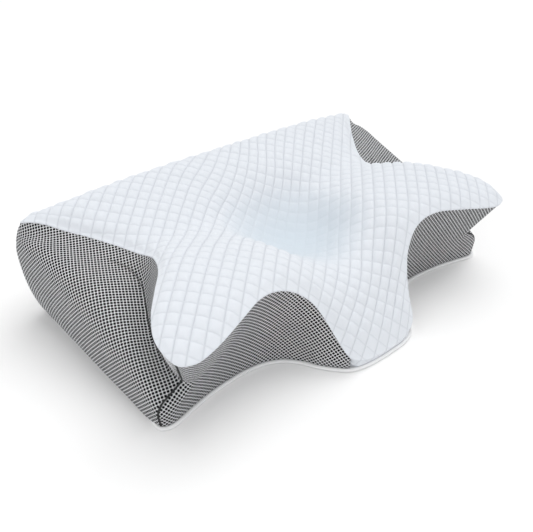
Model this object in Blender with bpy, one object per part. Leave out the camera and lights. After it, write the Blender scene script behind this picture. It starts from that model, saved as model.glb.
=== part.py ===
"""A contoured cervical pillow, modelled at its real size in metres.

The pillow lies on its flat underside. +X runs along its length, the nose points to -Y,
the straight back edge faces +Y and +Z is up. It is the same left and right of X = 0.
Its filled body carries the quilted top. Five thin mesh panels lie on its sides and one
panel closes its underside.
"""

import math
from collections import namedtuple

import bmesh
import bpy
import numpy as np
from mathutils import Matrix
from mathutils.geometry import delaunay_2d_cdt

# Cloth
PANEL_THICKNESS = 0.003
BASE_THICKNESS = 0.004
GAP = 0.0003

# Quilting: diamonds stitched at 45 degrees to the pillow's length
QUILT_PITCH = 0.0190
QUILT_RISE = 0.0028
QUILT_EDGE = 0.008
QUILT_RISE_IN_HOLLOW = 0.0006
HOLLOW_CENTRE_Y = 0.005
HOLLOW_REACH = (0.085, 0.085)

# The top surface rolls down to the seam over this width, by this much
EDGE_ROLL_WIDTH = 0.030
EDGE_ROLL_DROP = 0.008

# Fineness of the loft
COLUMNS_PER_STATION = 2
CORNER_POINTS = 4
SHOULDER_ROUNDING = 0.034
FOOT_ROUNDING = 0.012
# The longer side of a rounding is at most this many times its shorter side.
ROUNDING_SKEW = 2.2
# The foot stays below the seam by a share of the wall's height, up to this height.
SHORT_WALL = 0.012
LOOK_AHEAD = 0.05

# The side walls swell out between base and shoulder, from place to place round the wall, by
# this share of the shoulder's height. The two powers set how low and how flat the swell is.
SWELL = 0.080
SWELL_PLACES = ("back end", "corner edge", "recess", "wing tip")
SWELL_LOW = 0.75
SWELL_FLAT = 0.8
SWELL_ROWS = (0.10, 0.27, 0.50, 0.76)

# How far the cutting shapes reach past the pillow
OVER_TOP = 0.210
UNDER_BASE = -0.030
BLOCK_MARGIN = 0.030

# The wall of the right half, station by station from the middle of the back round to the
# nose. base is the outline on the underside, shoulder the turn from the upright wall to the
# slope, foot the crease at the bottom of the upper wall, and seam the edge of the top.
Station = namedtuple("Station", "place base shoulder foot seam")
STATIONS = (
    Station("back middle", (0.000, 0.206), (0.000, 0.218, 0.090), (0.000, 0.217, 0.128), (0.000, 0.209)),
    Station("back half", (0.150, 0.206), (0.150, 0.218, 0.090), (0.150, 0.217, 0.128), (0.150, 0.209)),
    Station("back end", (0.262, 0.205), (0.272, 0.218, 0.096), (0.272, 0.217, 0.128), (0.272, 0.209)),
    Station("back corner", (0.286, 0.199), (0.304, 0.215, 0.106), (0.302, 0.213, 0.130), (0.294, 0.207)),
    Station("corner edge", (0.298, 0.185), (0.318, 0.200, 0.117), (0.311, 0.200, 0.133), (0.304, 0.199)),
    Station("side end", (0.300, 0.165), (0.316, 0.177, 0.129), (0.304, 0.182, 0.134), (0.295, 0.187)),
    Station("side rear", (0.300, 0.138), (0.310, 0.148, 0.132), (0.286, 0.155, 0.134), (0.271, 0.160)),
    Station("side middle", (0.300, 0.104), (0.306, 0.112, 0.126), (0.265, 0.119, 0.127), (0.242, 0.123)),
    Station("recess rear", (0.300, 0.070), (0.303, 0.075, 0.118), (0.244, 0.085, 0.119), (0.219, 0.086)),
    Station("recess", (0.300, 0.037), (0.301, 0.039, 0.108), (0.229, 0.057, 0.111), (0.207, 0.047)),
    Station("recess front", (0.300, 0.008), (0.301, 0.008, 0.095), (0.227, 0.034, 0.101), (0.213, 0.016)),
    Station("wing root", (0.300, -0.018), (0.301, -0.018, 0.082), (0.236, 0.010, 0.090), (0.230, -0.019)),
    Station("wing rear", (0.300, -0.042), (0.301, -0.042, 0.071), (0.248, -0.016, 0.079), (0.253, -0.047)),
    Station("wing side", (0.300, -0.064), (0.301, -0.064, 0.059), (0.257, -0.045, 0.069), (0.275, -0.074)),
    Station("wing front side", (0.299, -0.084), (0.301, -0.084, 0.047), (0.261, -0.074, 0.060), (0.291, -0.106)),
    Station("wing tip", (0.294, -0.102), (0.299, -0.103, 0.034), (0.260, -0.100, 0.053), (0.288, -0.138)),
    Station("wing tip front", (0.280, -0.107), (0.281, -0.109, 0.024), (0.251, -0.108, 0.051), (0.270, -0.147)),
    Station("wing front", (0.255, -0.101), (0.255, -0.103, 0.024), (0.238, -0.108, 0.054), (0.248, -0.146)),
    Station("wing front inner", (0.224, -0.094), (0.223, -0.097, 0.026), (0.217, -0.104, 0.058), (0.222, -0.140)),
    Station("front recess outer", (0.190, -0.090), (0.189, -0.092, 0.028), (0.189, -0.098, 0.062), (0.190, -0.129)),
    Station("front recess", (0.160, -0.089), (0.160, -0.091, 0.028), (0.161, -0.096, 0.062), (0.162, -0.119)),
    Station("front recess inner", (0.132, -0.094), (0.132, -0.095, 0.028), (0.134, -0.099, 0.062), (0.136, -0.115)),
    Station("nose root", (0.111, -0.105), (0.112, -0.106, 0.026), (0.112, -0.108, 0.056), (0.112, -0.118)),
    Station("nose upper side", (0.095, -0.123), (0.096, -0.123, 0.022), (0.095, -0.124, 0.046), (0.091, -0.127)),
    Station("nose side", (0.085, -0.141), (0.086, -0.141, 0.017), (0.084, -0.141, 0.034), (0.078, -0.139)),
    Station("nose lower side", (0.073, -0.157), (0.074, -0.157, 0.012), (0.073, -0.157, 0.022), (0.069, -0.154)),
    Station("nose corner", (0.057, -0.172), (0.058, -0.173, 0.007), (0.059, -0.173, 0.010), (0.059, -0.173)),
    Station("nose front", (0.035, -0.179), (0.035, -0.180, 0.006), (0.035, -0.181, 0.008), (0.034, -0.181)),
    Station("nose middle", (0.000, -0.181), (0.000, -0.182, 0.006), (0.000, -0.183, 0.008), (0.000, -0.183)),
)

# The crown of the top, in sections across the pillow. Each row gives the height at the
# distances from the middle that SECTION_X names.
Section = namedtuple("Section", "y middle hollow_side hollow_rim inner outer far")
SECTION_X = (0.000, 0.045, 0.088, 0.140, 0.200, 0.270)
SECTIONS = (
    Section(-0.190, 0.009, 0.009, 0.010, 0.060, 0.110, 0.108),
    Section(-0.178, 0.026, 0.026, 0.029, 0.085, 0.118, 0.114),
    Section(-0.155, 0.056, 0.058, 0.063, 0.112, 0.128, 0.122),
    Section(-0.130, 0.086, 0.090, 0.106, 0.132, 0.137, 0.130),
    Section(-0.100, 0.101, 0.110, 0.131, 0.142, 0.146, 0.140),
    Section(-0.060, 0.095, 0.112, 0.139, 0.148, 0.153, 0.149),
    Section(-0.020, 0.085, 0.098, 0.134, 0.148, 0.155, 0.154),
    Section(0.020, 0.084, 0.094, 0.125, 0.140, 0.146, 0.144),
    Section(0.060, 0.104, 0.112, 0.128, 0.136, 0.135, 0.132),
    Section(0.100, 0.142, 0.144, 0.147, 0.147, 0.140, 0.133),
    Section(0.140, 0.161, 0.161, 0.160, 0.158, 0.153, 0.143),
    Section(0.186, 0.166, 0.166, 0.166, 0.165, 0.163, 0.157),
    Section(0.212, 0.152, 0.152, 0.152, 0.152, 0.151, 0.150),
)

# Where one mesh panel ends and the next begins
BACK_SEAM = "back end"
CORNER_SEAM = "wing tip"
NOSE_SEAM = "nose corner"


def hermite(knots, values, at):
    """A smooth curve through values at knots. values may hold several columns."""
    knots = np.asarray(knots, float)
    values = np.asarray(values, float)
    slopes = np.gradient(values, knots, axis=0)
    at = np.clip(at, knots[0], knots[-1])
    i = np.clip(np.searchsorted(knots, at, side="right") - 1, 0, len(knots) - 2)
    step = knots[i + 1] - knots[i]
    t = (at - knots[i]) / step
    if values.ndim > 1:
        t = t[..., None]
        step = step[..., None]
    start = (1 + 2 * t) * (1 - t) ** 2 * values[i] + t * (1 - t) ** 2 * step * slopes[i]
    end = t * t * (3 - 2 * t) * values[i + 1] + t * t * (t - 1) * step * slopes[i + 1]
    return start + end


def stations_of(field):
    return np.array([getattr(station, field) for station in STATIONS])


def place_of(name):
    return [station.place for station in STATIONS].index(name)


def along(field, t):
    """The stations' points of one field at places t, counted in stations from the back."""
    return hermite(np.arange(len(STATIONS)), stations_of(field), np.asarray(t, float))


def seam_outline():
    """The whole plan outline of the top, once round."""
    t = np.linspace(0, len(STATIONS) - 1, 6 * len(STATIONS))
    right = along("seam", t)
    left = right[-2:0:-1] * (-1, 1)
    return np.concatenate([right, left])


def inside(points, outline):
    """Whether each plan point lies inside the closed outline."""
    after = np.roll(outline, -1, axis=0)
    x, y = points[:, 0, None], points[:, 1, None]
    spans = (outline[:, 1] > y) != (after[:, 1] > y)
    rise = np.where(after[:, 1] == outline[:, 1], 1.0, after[:, 1] - outline[:, 1])
    crossing = outline[:, 0] + (y - outline[:, 1]) / rise * (after[:, 0] - outline[:, 0])
    return (spans & (x < crossing)).sum(axis=1) % 2 == 1


def depth_inside(points, outline):
    """How far each plan point lies inside the outline, and 0 outside it."""
    after = np.roll(outline, -1, axis=0)
    edge = after - outline
    offset = points[:, None] - outline
    share = np.clip((offset * edge).sum(2) / (edge * edge).sum(1), 0, 1)
    nearest = np.linalg.norm(offset - share[..., None] * edge, axis=2).min(axis=1)
    return np.where(inside(points, outline), nearest, 0.0)


def crown(x, y):
    """The height of the top before its edge rolls down."""
    sections = np.array([section[1:] for section in SECTIONS])
    rows = hermite([section.y for section in SECTIONS], sections, np.asarray(y, float))
    across = np.concatenate([-np.array(SECTION_X[:0:-1]), SECTION_X])
    both_sides = np.concatenate([rows[:, :0:-1], rows], axis=1)
    return np.array([hermite(across, row, np.array([d]))[0] for row, d in zip(both_sides, np.abs(x))])


def top_height(points):
    """The height of the top's surface over each plan point, without its quilting."""
    roll = np.clip(1 - depth_inside(points, seam_outline()) / EDGE_ROLL_WIDTH, 0, 1) ** 2
    return crown(points[:, 0], points[:, 1]) - EDGE_ROLL_DROP * roll


def rounded(start, corner, end, reach_in, reach_out):
    """Points that turn a corner smoothly, one row for each of CORNER_POINTS."""
    before = start - corner
    after = end - corner
    length_in = np.linalg.norm(before, axis=1, keepdims=True)
    length_out = np.linalg.norm(after, axis=1, keepdims=True)
    reach_in = np.minimum(reach_in, 0.5 * length_in)
    reach_out = np.minimum(reach_out, 0.45 * length_out)
    first = corner + before / length_in * np.minimum(reach_in, ROUNDING_SKEW * reach_out)
    last = corner + after / length_out * np.minimum(reach_out, ROUNDING_SKEW * reach_in)
    turn = [
        (1 - s) ** 2 * first + 2 * s * (1 - s) * corner + s * s * last
        for s in np.linspace(0, 1, CORNER_POINTS)
    ]
    return turn


def swelled(t, rows, shoulder_height):
    """The wall's rows moved out where the sides are stuffed full, between base and shoulder."""
    t = np.clip(t, 0, len(STATIONS) - 1)
    shown = np.interp(t, [place_of(name) for name in SWELL_PLACES], (0.0, 1.0, 1.0, 0.0))
    towards = along("base", t + LOOK_AHEAD) - along("base", t - LOOK_AHEAD)
    out = np.column_stack([-towards[:, 1], towards[:, 0], np.zeros(len(t))])
    out /= np.linalg.norm(out, axis=1, keepdims=True)
    share = np.clip((rows[..., 2] - rows[0, :, 2]) / (shoulder_height - rows[0, :, 2]), 0, 1)
    fullness = np.sin(math.pi * share**SWELL_LOW) ** SWELL_FLAT
    amount = SWELL * shoulder_height * shown**2 * (3 - 2 * shown) * fullness
    return rows + amount[..., None] * out


def wall(t, bottom):
    """The outer surface of the wall: rows of points from bottom up to the seam."""
    base = np.column_stack([along("base", t), np.full(len(t), bottom)])
    shoulder = along("shoulder", t)
    foot = along("foot", t)
    plan = along("seam", t)
    seam = np.column_stack([plan, top_height(plan)])
    foot[:, 2] = np.minimum(foot[:, 2], seam[:, 2] - 0.3 * np.minimum(seam[:, 2] - bottom, SHORT_WALL))
    shoulder[:, 2] = np.minimum(shoulder[:, 2], foot[:, 2])
    turn = rounded(base, shoulder, foot, SHOULDER_ROUNDING, SHOULDER_ROUNDING)
    rows = [base]
    rows += [base + (turn[0] - base) * share for share in SWELL_ROWS]
    rows += turn
    rows += rounded(shoulder, foot, seam, FOOT_ROUNDING, FOOT_ROUNDING)
    rows += [seam]
    return swelled(t, np.array(rows), shoulder[:, 2])


def inset(t, bottom, depth):
    """The wall's surface moved inwards by depth, its lowest row kept level."""
    rows = wall(t, bottom)
    ahead = wall(t + LOOK_AHEAD, bottom) - wall(t - LOOK_AHEAD, bottom)
    outward = np.cross(np.gradient(rows, axis=0), ahead)
    outward /= np.linalg.norm(outward, axis=2, keepdims=True)
    moved = rows - outward * np.asarray(depth)[..., None]
    moved[0, :, 2] = bottom
    return moved


def raised_to(rows, height):
    """The grid with one more row, straight above its last one."""
    last = rows[-1].copy()
    last[:, 2] = height
    return np.concatenate([rows, last[None]])


def new_object(name, mesh, collection, material=None):
    thing = bpy.data.objects.new(name, mesh)
    collection.objects.link(thing)
    if material:
        mesh.materials.append(material)
    return thing


def face_outwards(shape):
    bmesh.ops.recalc_face_normals(shape, faces=shape.faces[:])
    if shape.calc_volume(signed=True) < 0:
        bmesh.ops.reverse_faces(shape, faces=shape.faces[:])


def mesh_of(name, vertices, faces):
    """A closed mesh of triangles whose faces point outwards."""
    mesh = bpy.data.meshes.new(name)
    shape = bmesh.new()
    points = [shape.verts.new(vertex) for vertex in vertices]
    for face in faces:
        shape.faces.new([points[i] for i in face])
    bmesh.ops.triangulate(shape, faces=shape.faces[:])
    face_outwards(shape)
    shape.to_mesh(mesh)
    shape.free()
    return mesh


def cap(outline):
    """Triangles that fill a closed plan outline, as indices of its points."""
    count = len(outline)
    edges = [(c, (c + 1) % count) for c in range(count)]
    return delaunay_2d_cdt([tuple(p) for p in outline], edges, [], 1, 1e-7)[2]


def two_triangles(a, b, c, d, turned):
    """The quad a, b, c, d cut along a-c, or along b-d where turned."""
    return [(a, b, d), (b, c, d)] if turned else [(a, b, c), (a, c, d)]


def ring_mesh(name, rows):
    """A body whose wall is the closed grid of rows, with a flat cap at each end."""
    height, width = rows.shape[:2]
    faces = [tuple(face) for face in cap(rows[0, :, :2])]
    for r in range(height - 1):
        for c in range(width):
            after = (c + 1) % width
            quad = (r * width + c, r * width + after, (r + 1) * width + after, (r + 1) * width + c)
            faces += two_triangles(*quad, turned=c >= width // 2)
    top = (height - 1) * width
    faces += [tuple(top + c for c in face) for face in cap(rows[-1, :, :2])]
    return mesh_of(name, rows.reshape(-1, 3), faces)


def sheet_mesh(name, outer, inner, mirrored):
    """A sheet between an outer and an inner grid of the same size, cut into triangles as the body is."""
    height, width = outer.shape[:2]
    count = height * width
    faces = []
    for r in range(height - 1):
        for c in range(width - 1):
            quad = (r * width + c, r * width + c + 1, (r + 1) * width + c + 1, (r + 1) * width + c)
            for face in two_triangles(*quad, turned=mirrored and c < width // 2):
                faces.append(face)
                faces.append(tuple(i + count for i in face[::-1]))
    rim = [c for c in range(width)]
    rim += [r * width + width - 1 for r in range(1, height)]
    rim += [(height - 1) * width + c for c in range(width - 2, -1, -1)]
    rim += [r * width for r in range(height - 2, 0, -1)]
    for a, b in zip(rim, rim[1:] + rim[:1]):
        faces.append((b, a, a + count, b + count))
    return mesh_of(name, np.concatenate([outer.reshape(-1, 3), inner.reshape(-1, 3)]), faces)


def columns(first, last):
    """Places along the wall between two stations, COLUMNS_PER_STATION to each."""
    return np.linspace(first, last, int(round((last - first) * COLUMNS_PER_STATION)) + 1)


def whole_round():
    """The wall of the filled body as one closed grid, set in behind the mesh panels."""
    nose = place_of(NOSE_SEAM)
    covered = columns(0, nose)
    bare = columns(nose, len(STATIONS) - 1)
    bottom = BASE_THICKNESS + GAP
    right = np.concatenate(
        [inset(covered, bottom, PANEL_THICKNESS + GAP), inset(bare, bottom, 0.0)], axis=1
    )
    right[:, (0, -1), 0] = 0.0
    left = right[:, -2:0:-1] * (-1, 1, 1)
    return np.concatenate([right, left], axis=1)


def cloth_grid(spacing):
    """Plan points spaced evenly over the top's surface, on lines at 45 degrees."""
    outline = seam_outline()
    low = outline.min(axis=0) - BLOCK_MARGIN
    high = outline.max(axis=0) + BLOCK_MARGIN
    y = np.linspace(low[1], high[1], 240)
    reach = int(math.ceil(1.3 * (high[0] - low[0]) / spacing))
    points = {}
    lengths = {}
    for i in range(-reach, reach + 1):
        for j in range(-reach, reach + 1):
            x = (i + j) * spacing / math.sqrt(2)
            if not low[0] <= x <= high[0]:
                continue
            if i + j not in lengths:
                rise = np.gradient(crown(np.full(len(y), x), y), y)
                length = np.concatenate([[0], np.cumsum(np.diff(y) * np.hypot(1, (rise[1:] + rise[:-1]) / 2))])
                lengths[i + j] = length - np.interp(0, y, length)
            cloth = (i - j) * spacing / math.sqrt(2)
            length = lengths[i + j]
            if length[0] <= cloth <= length[-1]:
                points[i, j] = (x, np.interp(cloth, length, y))
    return points


def quilt_rise(points):
    """How far the quilting stands up: little in the head hollow, and nothing at the seam."""
    x = points[:, 0] / HOLLOW_REACH[0]
    y = (points[:, 1] - HOLLOW_CENTRE_Y) / HOLLOW_REACH[1]
    share = np.clip(np.hypot(x, y), 0, 1) ** 2
    edge = np.clip(depth_inside(points, seam_outline()) / QUILT_EDGE - 0.5, 0, 1)
    return edge * (QUILT_RISE_IN_HOLLOW + (QUILT_RISE - QUILT_RISE_IN_HOLLOW) * share)


def top_block(name, spacing, quilted, collection):
    """A solid whose upper face is the top's surface. It trims what reaches above the top."""
    grid = cloth_grid(spacing)
    index = {key: n for n, key in enumerate(grid)}
    plan = np.array(list(grid.values()))
    height = top_height(plan)
    if quilted:
        raised = np.array([i % 2 == 1 and j % 2 == 1 for i, j in grid])
        height = height + np.where(raised, quilt_rise(plan), 0.0)
    shape = bmesh.new()
    verts = [shape.verts.new((*p, h)) for p, h in zip(plan, height)]
    for i, j in grid:
        corners = [(i, j), (i + 1, j), (i + 1, j + 1), (i, j + 1)]
        if not all(corner in index for corner in corners):
            continue
        quad = [verts[index[corner]] for corner in corners]
        if (i + j) % 2 == 1:
            quad = quad[1:] + quad[:1]
        shape.faces.new((quad[0], quad[1], quad[2]))
        shape.faces.new((quad[0], quad[2], quad[3]))
    bmesh.ops.delete(shape, geom=[v for v in shape.verts if not v.link_faces], context="VERTS")
    sides = bmesh.ops.extrude_face_region(shape, geom=shape.faces[:])
    for item in sides["geom"]:
        if isinstance(item, bmesh.types.BMVert):
            item.co.z = UNDER_BASE
    bmesh.ops.triangulate(shape, faces=shape.faces[:])
    face_outwards(shape)
    mesh = bpy.data.meshes.new(name)
    shape.to_mesh(mesh)
    shape.free()
    block = new_object(name, mesh, collection)
    block.hide_render = True
    block.display_type = "WIRE"
    return block


def trim(thing, block):
    """Keeps what lies inside the block."""
    cut = thing.modifiers.new("trim to the top", "BOOLEAN")
    cut.operation = "INTERSECT"
    cut.solver = "EXACT"
    cut.object = block


def filled_body(collection, block, material):
    body = new_object("filled_body", ring_mesh("filled_body", raised_to(whole_round(), OVER_TOP)), collection, material)
    trim(body, block)
    return body


def end_shift(place):
    """The step along the stations that parts two panels by at least GAP at every height."""
    near = wall(np.array([place - LOOK_AHEAD, place + LOOK_AHEAD]), BASE_THICKNESS + GAP)
    speed = np.linalg.norm(near[:, 1] - near[:, 0], axis=1).min() / (2 * LOOK_AHEAD)
    return 0.7 * GAP / speed


def panel_sheet(name, t, mirrored):
    """The sheet over the columns t, or over both halves of the back where mirrored."""
    bottom = BASE_THICKNESS + GAP
    outer = raised_to(wall(t, bottom), OVER_TOP)
    inner = raised_to(inset(t, bottom, PANEL_THICKNESS), OVER_TOP)
    if mirrored:
        inner[:, 0, 0] = 0.0
        outer, inner = (
            np.concatenate([half[:, :0:-1] * (-1, 1, 1), half], axis=1) for half in (outer, inner)
        )
    return sheet_mesh(name, outer, inner, mirrored)


def mesh_panel(name, first, last, side, collection, block, material):
    """One sheet of the mesh from station first to station last, on the side +1 or -1."""
    t = columns(first, last)
    t[0] = first + end_shift(first)
    t[-1] = last - end_shift(last)
    mesh = panel_sheet(name, t, False)
    if side < 0:
        mesh.transform(Matrix.Scale(-1, 4, (1, 0, 0)))
        mesh.flip_normals()
    panel = new_object(name, mesh, collection, material)
    trim(panel, block)
    return panel


def back_panel(name, collection, block, material):
    """The sheet across the back, from one back corner to the other."""
    last = place_of(BACK_SEAM)
    t = columns(0, last)
    t[-1] = last - end_shift(last)
    panel = new_object(name, panel_sheet(name, t, True), collection, material)
    trim(panel, block)
    return panel


def base_panel(collection, material):
    """The flat panel that closes the underside."""
    t = columns(0, len(STATIONS) - 1)
    right = along("base", t)
    plan = np.concatenate([right, right[-2:0:-1] * (-1, 1)])
    rows = np.array([np.column_stack([plan, np.full(len(plan), z)]) for z in (0.0, BASE_THICKNESS)])
    return new_object("base_panel", ring_mesh("base_panel", rows), collection, material)


def cloth_material(name, colour, roughness):
    material = bpy.data.materials.new(name)
    material.use_nodes = True
    shader = material.node_tree.nodes["Principled BSDF"]
    shader.inputs["Base Color"].default_value = (*colour, 1.0)
    shader.inputs["Roughness"].default_value = roughness
    shader.inputs["Metallic"].default_value = 0.0
    return material


def clear_scene():
    for thing in list(bpy.data.objects):
        bpy.data.objects.remove(thing)


def main():
    clear_scene()
    parts = bpy.data.collections.new("cervical pillow")
    cutters = bpy.data.collections.new("cutters")
    for collection in (parts, cutters):
        bpy.context.scene.collection.children.link(collection)
    quilted = cloth_material("quilted white knit", (0.84, 0.87, 0.91), 0.85)
    netting = cloth_material("grey mesh", (0.30, 0.30, 0.31), 0.80)
    plain = cloth_material("white base cloth", (0.80, 0.81, 0.83), 0.90)
    quilted_top = top_block("quilted top trim", QUILT_PITCH / 2, True, cutters)
    smooth_top = top_block("smooth top trim", QUILT_PITCH / 2, False, cutters)
    filled_body(parts, quilted_top, quilted)
    back = place_of(BACK_SEAM)
    corner = place_of(CORNER_SEAM)
    nose = place_of(NOSE_SEAM)
    for side, hand in ((-1, "left"), (1, "right")):
        mesh_panel(f"mesh_side_{hand}", back, corner, side, parts, smooth_top, netting)
        mesh_panel(f"mesh_front_{hand}", corner, nose, side, parts, smooth_top, netting)
    back_panel("mesh_back", parts, smooth_top, netting)
    base_panel(parts, plain)


if __name__ == "__main__":
    main()
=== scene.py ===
"""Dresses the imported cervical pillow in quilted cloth, open net and a plain base, and lights it.

The shapes follow the same stations and sections as the pillow's solids, in metres: +X along
the pillow's length, the nose towards -Y and +Z up. All shapes are the same left and right,
apart from the quilting's cells, which are a little uneven.
"""

import math
from collections import namedtuple

import bmesh
import bpy
import numpy as np
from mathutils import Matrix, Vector
from mathutils.bvhtree import BVHTree
from mathutils.geometry import delaunay_2d_cdt


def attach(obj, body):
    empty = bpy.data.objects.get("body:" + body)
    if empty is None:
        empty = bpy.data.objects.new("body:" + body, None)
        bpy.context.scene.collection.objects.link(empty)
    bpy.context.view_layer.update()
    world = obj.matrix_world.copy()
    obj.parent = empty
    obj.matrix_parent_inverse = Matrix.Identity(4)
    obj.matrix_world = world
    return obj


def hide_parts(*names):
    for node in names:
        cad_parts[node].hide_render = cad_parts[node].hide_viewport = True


bl_info = {
    "name": "Cervical Pillow Dressing",
    "version": (1, 0, 0),
    "blender": (4, 5, 0),
    "location": "View3D > Sidebar > Pillow",
    "description": "Makes the quilted cloth, mesh sides, base and stage of a contoured neck pillow",
    "category": "Mesh",
}

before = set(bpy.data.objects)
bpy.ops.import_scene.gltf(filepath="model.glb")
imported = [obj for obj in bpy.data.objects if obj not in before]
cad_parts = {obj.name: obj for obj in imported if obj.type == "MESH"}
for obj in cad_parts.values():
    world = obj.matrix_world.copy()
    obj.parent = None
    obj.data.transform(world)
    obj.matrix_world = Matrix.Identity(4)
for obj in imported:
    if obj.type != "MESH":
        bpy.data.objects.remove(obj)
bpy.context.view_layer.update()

# The wall of the right half, station by station from the middle of the back round to the
# nose. base is the outline on the underside, shoulder the turn from the upright wall to the
# slope, foot the crease at the bottom of the upper wall, and seam the edge of the top.
Station = namedtuple("Station", "place base shoulder foot seam")
STATIONS = (
    Station("back middle", (0.000, 0.206), (0.000, 0.218, 0.090), (0.000, 0.217, 0.128), (0.000, 0.209)),
    Station("back half", (0.150, 0.206), (0.150, 0.218, 0.090), (0.150, 0.217, 0.128), (0.150, 0.209)),
    Station("back end", (0.262, 0.205), (0.272, 0.218, 0.096), (0.272, 0.217, 0.128), (0.272, 0.209)),
    Station("back corner", (0.286, 0.199), (0.304, 0.215, 0.106), (0.302, 0.213, 0.130), (0.294, 0.207)),
    Station("corner edge", (0.298, 0.185), (0.318, 0.200, 0.117), (0.311, 0.200, 0.133), (0.304, 0.199)),
    Station("side end", (0.300, 0.165), (0.316, 0.177, 0.129), (0.304, 0.182, 0.134), (0.295, 0.187)),
    Station("side rear", (0.300, 0.138), (0.310, 0.148, 0.132), (0.286, 0.155, 0.134), (0.271, 0.160)),
    Station("side middle", (0.300, 0.104), (0.306, 0.112, 0.126), (0.265, 0.119, 0.127), (0.242, 0.123)),
    Station("recess rear", (0.300, 0.070), (0.303, 0.075, 0.118), (0.244, 0.085, 0.119), (0.219, 0.086)),
    Station("recess", (0.300, 0.037), (0.301, 0.039, 0.108), (0.229, 0.057, 0.111), (0.207, 0.047)),
    Station("recess front", (0.300, 0.008), (0.301, 0.008, 0.095), (0.227, 0.034, 0.101), (0.213, 0.016)),
    Station("wing root", (0.300, -0.018), (0.301, -0.018, 0.082), (0.236, 0.010, 0.090), (0.230, -0.019)),
    Station("wing rear", (0.300, -0.042), (0.301, -0.042, 0.071), (0.248, -0.016, 0.079), (0.253, -0.047)),
    Station("wing side", (0.300, -0.064), (0.301, -0.064, 0.059), (0.257, -0.045, 0.069), (0.275, -0.074)),
    Station("wing front side", (0.299, -0.084), (0.301, -0.084, 0.047), (0.261, -0.074, 0.060), (0.291, -0.106)),
    Station("wing tip", (0.294, -0.102), (0.299, -0.103, 0.034), (0.260, -0.100, 0.053), (0.288, -0.138)),
    Station("wing tip front", (0.280, -0.107), (0.281, -0.109, 0.024), (0.251, -0.108, 0.051), (0.270, -0.147)),
    Station("wing front", (0.255, -0.101), (0.255, -0.103, 0.024), (0.238, -0.108, 0.054), (0.248, -0.146)),
    Station("wing front inner", (0.224, -0.094), (0.223, -0.097, 0.026), (0.217, -0.104, 0.058), (0.222, -0.140)),
    Station("front recess outer", (0.190, -0.090), (0.189, -0.092, 0.028), (0.189, -0.098, 0.062), (0.190, -0.129)),
    Station("front recess", (0.160, -0.089), (0.160, -0.091, 0.028), (0.161, -0.096, 0.062), (0.162, -0.119)),
    Station("front recess inner", (0.132, -0.094), (0.132, -0.095, 0.028), (0.134, -0.099, 0.062), (0.136, -0.115)),
    Station("nose root", (0.111, -0.105), (0.112, -0.106, 0.026), (0.112, -0.108, 0.056), (0.112, -0.118)),
    Station("nose upper side", (0.095, -0.123), (0.096, -0.123, 0.022), (0.095, -0.124, 0.046), (0.091, -0.127)),
    Station("nose side", (0.085, -0.141), (0.086, -0.141, 0.017), (0.084, -0.141, 0.034), (0.078, -0.139)),
    Station("nose lower side", (0.073, -0.157), (0.074, -0.157, 0.012), (0.073, -0.157, 0.022), (0.069, -0.154)),
    Station("nose corner", (0.057, -0.172), (0.058, -0.173, 0.007), (0.059, -0.173, 0.010), (0.059, -0.173)),
    Station("nose front", (0.035, -0.179), (0.035, -0.180, 0.006), (0.035, -0.181, 0.008), (0.034, -0.181)),
    Station("nose middle", (0.000, -0.181), (0.000, -0.182, 0.006), (0.000, -0.183, 0.008), (0.000, -0.183)),
)
LAST = len(STATIONS) - 1
PLACES = [station.place for station in STATIONS]
BACK_SEAM = PLACES.index("back end")
CREASE_FROM = PLACES.index("recess rear")
CORNER_SEAM = PLACES.index("wing tip")
NOSE_SEAM = PLACES.index("nose corner")

# The crown of the top, in sections across the pillow. Each row gives the height at the
# distances from the middle that SECTION_X names.
Section = namedtuple("Section", "y middle hollow_side hollow_rim inner outer far")
SECTION_X = (0.000, 0.045, 0.088, 0.140, 0.200, 0.270)
SECTIONS = (
    Section(-0.190, 0.009, 0.009, 0.010, 0.060, 0.110, 0.108),
    Section(-0.178, 0.026, 0.026, 0.029, 0.085, 0.118, 0.114),
    Section(-0.155, 0.056, 0.058, 0.063, 0.112, 0.128, 0.122),
    Section(-0.130, 0.086, 0.090, 0.106, 0.132, 0.137, 0.130),
    Section(-0.100, 0.101, 0.110, 0.131, 0.142, 0.146, 0.140),
    Section(-0.060, 0.095, 0.112, 0.139, 0.148, 0.153, 0.149),
    Section(-0.020, 0.085, 0.098, 0.134, 0.148, 0.155, 0.154),
    Section(0.020, 0.084, 0.094, 0.125, 0.140, 0.146, 0.144),
    Section(0.060, 0.104, 0.112, 0.128, 0.136, 0.135, 0.132),
    Section(0.100, 0.142, 0.144, 0.147, 0.147, 0.140, 0.133),
    Section(0.140, 0.161, 0.161, 0.160, 0.158, 0.153, 0.143),
    Section(0.186, 0.166, 0.166, 0.166, 0.165, 0.163, 0.157),
    Section(0.212, 0.152, 0.152, 0.152, 0.152, 0.151, 0.150),
)

# Sizes shared with the solids. Only the foot is rounded less here, and the smooth part of the
# head hollow reaches further.
BASE_THICKNESS = 0.004
GAP = 0.0003
BOTTOM = BASE_THICKNESS + GAP
PANEL_THICKNESS = 0.003
EDGE_ROLL_WIDTH = 0.030
EDGE_ROLL_DROP = 0.008
SHOULDER_ROUNDING = 0.034
FOOT_ROUNDING = 0.007
ROUNDING_SKEW = 2.2
SHORT_WALL = 0.012
HOLLOW_CENTRE_Y = 0.005
HOLLOW_REACH = 0.105
QUILT_EDGE = 0.008

# The side walls swell out between base and shoulder, from place to place round the wall, by
# this share of the shoulder's height. The two powers set how low and how flat the swell is.
SWELL = 0.080
SWELL_PLACES = ("back end", "corner edge", "recess", "wing tip")
SWELL_LOW = 0.75
SWELL_FLAT = 0.8
SWELL_ROWS = np.linspace(0, 1, 14)[1:-1]

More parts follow.
